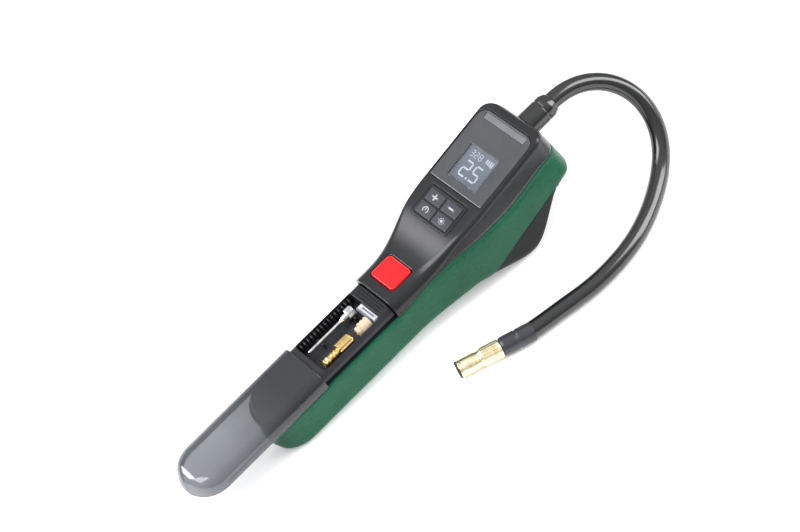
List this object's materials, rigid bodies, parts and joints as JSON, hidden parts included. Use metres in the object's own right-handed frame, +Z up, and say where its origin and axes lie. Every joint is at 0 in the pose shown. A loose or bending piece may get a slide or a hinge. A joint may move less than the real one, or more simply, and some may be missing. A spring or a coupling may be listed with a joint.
{
  "type": "tyre inflator",
  "caption": "Cordless handheld tyre inflator with a pressure display, keypad, sliding clear cover over an adapter bay, and a short hose ending in a brass valve chuck.",
  "frame": {"origin": "middle of the object's box without the hose, on the surface that it lies on", "axes": "+X along the tool from the butt of the handle to the head, +Y to the tool's left, +Z up from the surface, which is out of the display but for the tool's tilt of 4.7 degrees"},
  "size_m": [0.3363, 0.0984, 0.0741],
  "materials": {
    "green_shell": "satin green moulded shell",
    "grey_shell": "fine textured dark grey",
    "black_cover": "fine textured black",
    "display_black": "glossy black window",
    "lamp_lens": "frosted clear lens",
    "white_plastic": "natural nylon",
    "lcd": "grey liquid crystal panel",
    "board": "solder-masked circuit board",
    "steel": "plated steel",
    "red_button": "satin red",
    "tray": "black moulded tray",
    "clip_grey": "light grey soft clip",
    "clear_cover": "clear smoky plastic",
    "brass": "turned brass",
    "chrome": "nickel plated",
    "ivory_plastic": "ivory plastic",
    "cell_wrap": "shrink wrapped cell",
    "magnet": "ferrite",
    "copper": "enamelled copper winding",
    "seal_rubber": "black nitrile",
    "aluminium": "die cast",
    "hose_rubber": "smooth black rubber",
    "pale_brass": "pale nickel-brass",
    "key_rubber": "dotted dark grey rubber"
  },
  "bodies": {
    "body": {"rear_shell": "green_shell", "front_shell": "grey_shell", "motor_cover": "black_cover", "display_window": "display_black", "light_lens": "lamp_lens", "light_led": "white_plastic", "lcd_panel": "lcd", "lcd_frame": "white_plastic", "main_pcb": "board", "key_switches": "steel", "keypad_bezel": "grey_shell", "button_spring": "steel", "button_switch": "black_cover", "adapter_tray": "tray", "adapter_clip": "clip_grey", "battery_cell": "cell_wrap", "battery_tab_rear": "steel", "battery_tab_front": "steel", "charge_board": "board", "charge_port": "steel", "motor_can": "steel", "motor_cap": "white_plastic", "motor_magnets": "magnet", "gearbox_frame": "steel", "gear_axle": "steel", "axle_clip": "steel", "cylinder_sleeve": "aluminium", "cylinder_head": "aluminium", "valve_spring": "steel", "air_tube": "hose_rubber", "pressure_sensor": "black_cover", "hose_gland": "black_cover", "hose": "hose_rubber", "hose_collar": "black_cover", "shell_screws": "steel"},
    "cover": {"sliding_cover": "clear_cover"},
    "button": {"power_button": "red_button"},
    "plus_key": {"key_plus": "key_rubber"},
    "minus_key": {"key_minus": "key_rubber"},
    "unit_key": {"key_unit": "key_rubber"},
    "light_key": {"key_light": "key_rubber"},
    "valve_adapter": {"adapter_valve": "brass"},
    "needle_adapter": {"adapter_needle": "chrome"},
    "nozzle_adapter": {"adapter_nozzle": "ivory_plastic"},
    "rotor": {"motor_core": "copper", "motor_shaft": "steel", "pinion": "brass"},
    "crank": {"crank_gear": "white_plastic", "crank_pin": "steel"},
    "piston": {"connecting_rod": "white_plastic", "piston_seal": "seal_rubber"},
    "valve": {"valve_disc": "seal_rubber"},
    "chuck": {"chuck_body": "pale_brass", "chuck_seal": "seal_rubber", "chuck_pin": "brass"}
  },
  "joints": [
    {"name": "cover_slide", "type": "slide", "parent": "body", "child": "cover", "axis": [-0.9966, 0, -0.0819], "range_m": [-0.053, 0]},
    {"name": "power_push", "type": "slide", "parent": "body", "child": "button", "axis": [0.0819, 0, -0.9966], "range_m": [0, 0.0012], "stiffness_N_per_m": 1200, "deforming": ["button_spring"]},
    {"name": "plus_push", "type": "slide", "parent": "body", "child": "plus_key", "axis": [0.2665, 0, -0.9638], "range_m": [0, 0.0006], "stiffness_N_per_m": 900},
    {"name": "minus_push", "type": "slide", "parent": "body", "child": "minus_key", "axis": [0.2665, 0, -0.9638], "range_m": [0, 0.0006], "stiffness_N_per_m": 900},
    {"name": "unit_push", "type": "slide", "parent": "body", "child": "unit_key", "axis": [0.2665, 0, -0.9638], "range_m": [0, 0.0006], "stiffness_N_per_m": 900},
    {"name": "light_push", "type": "slide", "parent": "body", "child": "light_key", "axis": [0.2665, 0, -0.9638], "range_m": [0, 0.0006], "stiffness_N_per_m": 900},
    {"name": "valve_adapter_lift", "type": "slide", "parent": "body", "child": "valve_adapter", "axis": [-0.0819, 0, 0.9966], "range_m": [0, 0.02]},
    {"name": "needle_adapter_lift", "type": "slide", "parent": "body", "child": "needle_adapter", "axis": [-0.0819, 0, 0.9966], "range_m": [0, 0.02]},
    {"name": "nozzle_adapter_lift", "type": "slide", "parent": "body", "child": "nozzle_adapter", "axis": [-0.0819, 0, 0.9966], "range_m": [0, 0.02]},
    {"name": "crank_spin", "type": "hinge", "parent": "body", "child": "crank", "pos_m": [0.08591, 0, 0.01714], "axis": [0.9966, 0, 0.0819], "continuous": true},
    {"name": "rotor_spin", "type": "hinge", "parent": "body", "child": "rotor", "pos_m": [0.06473, 0, 0.03058], "axis": [0.9966, 0, 0.0819], "continuous": true},
    {"name": "piston_slide", "type": "slide", "parent": "body", "child": "piston", "axis": [-0.0819, 0, 0.9966], "range_m": [-0.01, 0]},
    {"name": "valve_lift", "type": "slide", "parent": "body", "child": "valve", "axis": [-0.0819, 0, 0.9966], "range_m": [0, 0.001], "stiffness_N_per_m": 150, "deforming": ["valve_spring"]},
    {"name": "chuck_spin", "type": "hinge", "parent": "body", "child": "chuck", "pos_m": [0.0425, -0.0615, 0.00565], "axis": [-0.9511, 0.309, 0], "continuous": true}
  ],
  "couplings": [
    {"joint": "rotor_spin", "follows": "crank_spin", "ratio": -3.7778}
  ]
}
